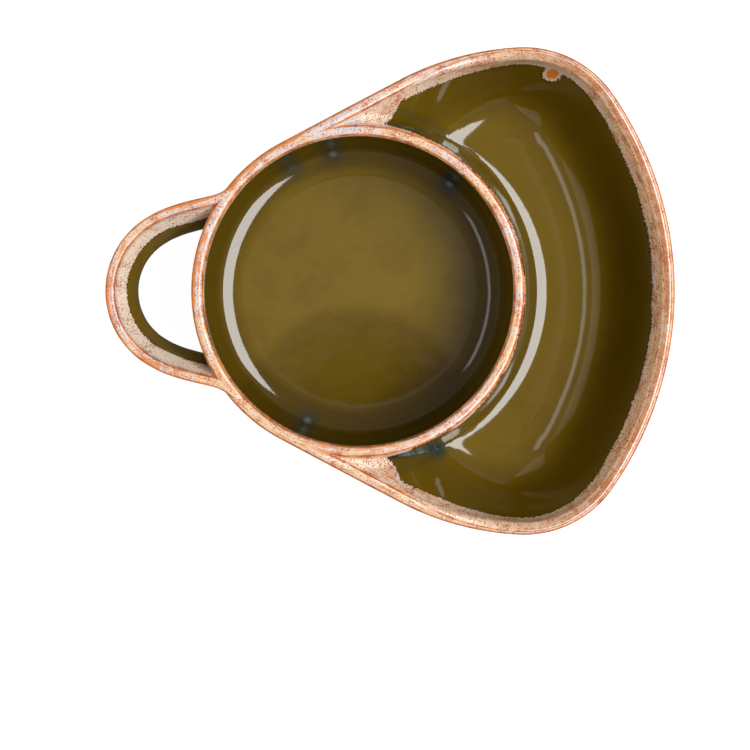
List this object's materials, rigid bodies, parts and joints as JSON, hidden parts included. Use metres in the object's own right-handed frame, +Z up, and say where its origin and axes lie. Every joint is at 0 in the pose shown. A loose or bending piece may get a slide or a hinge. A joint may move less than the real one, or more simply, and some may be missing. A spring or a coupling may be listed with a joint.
{
  "type": "divided bowl",
  "caption": "Shallow stoneware bowl with a round cup, a crescent side tray around it and a loop handle, with a raised vine, star and berry border outside.",
  "frame": {"origin": "middle of the bounding box in plan, at the level of the foot's standing face", "axes": "+X from the handle to the tray, along the plane of symmetry; +Y across; +Z up"},
  "size_m": [0.2398, 0.206, 0.057],
  "materials": {
    "glaze": "gloss",
    "sprig_glaze": "gloss",
    "bare_clay": "matte"
  },
  "bodies": {
    "root": {"foot_ring": "bare_clay", "floor_slab": "glaze", "outer_wall": "glaze", "divider_wall": "glaze", "handle_loop": "glaze", "star_tip": "sprig_glaze", "star_front_1": "sprig_glaze", "star_front_2": "sprig_glaze", "star_front_3": "sprig_glaze", "vine_front_1": "sprig_glaze", "vine_front_2_upper": "sprig_glaze", "vine_front_2_lower": "sprig_glaze", "vine_front_3": "sprig_glaze", "vine_front_4": "sprig_glaze", "berries_front_1": "sprig_glaze", "berries_front_2": "sprig_glaze", "berries_front_3": "sprig_glaze", "berries_front_4": "sprig_glaze", "berries_front_5": "sprig_glaze", "berries_front_6": "sprig_glaze", "tendril_front_1": "sprig_glaze", "tendril_front_2": "sprig_glaze", "star_back_1": "sprig_glaze", "star_back_2": "sprig_glaze", "star_back_3": "sprig_glaze", "vine_back_1": "sprig_glaze", "vine_back_2_upper": "sprig_glaze", "vine_back_2_lower": "sprig_glaze", "vine_back_3": "sprig_glaze", "vine_back_4": "sprig_glaze", "berries_back_1": "sprig_glaze", "berries_back_2": "sprig_glaze", "berries_back_3": "sprig_glaze", "berries_back_4": "sprig_glaze", "berries_back_5": "sprig_glaze", "berries_back_6": "sprig_glaze", "tendril_back_1": "sprig_glaze", "tendril_back_2": "sprig_glaze"}
  },
  "joints": []
}
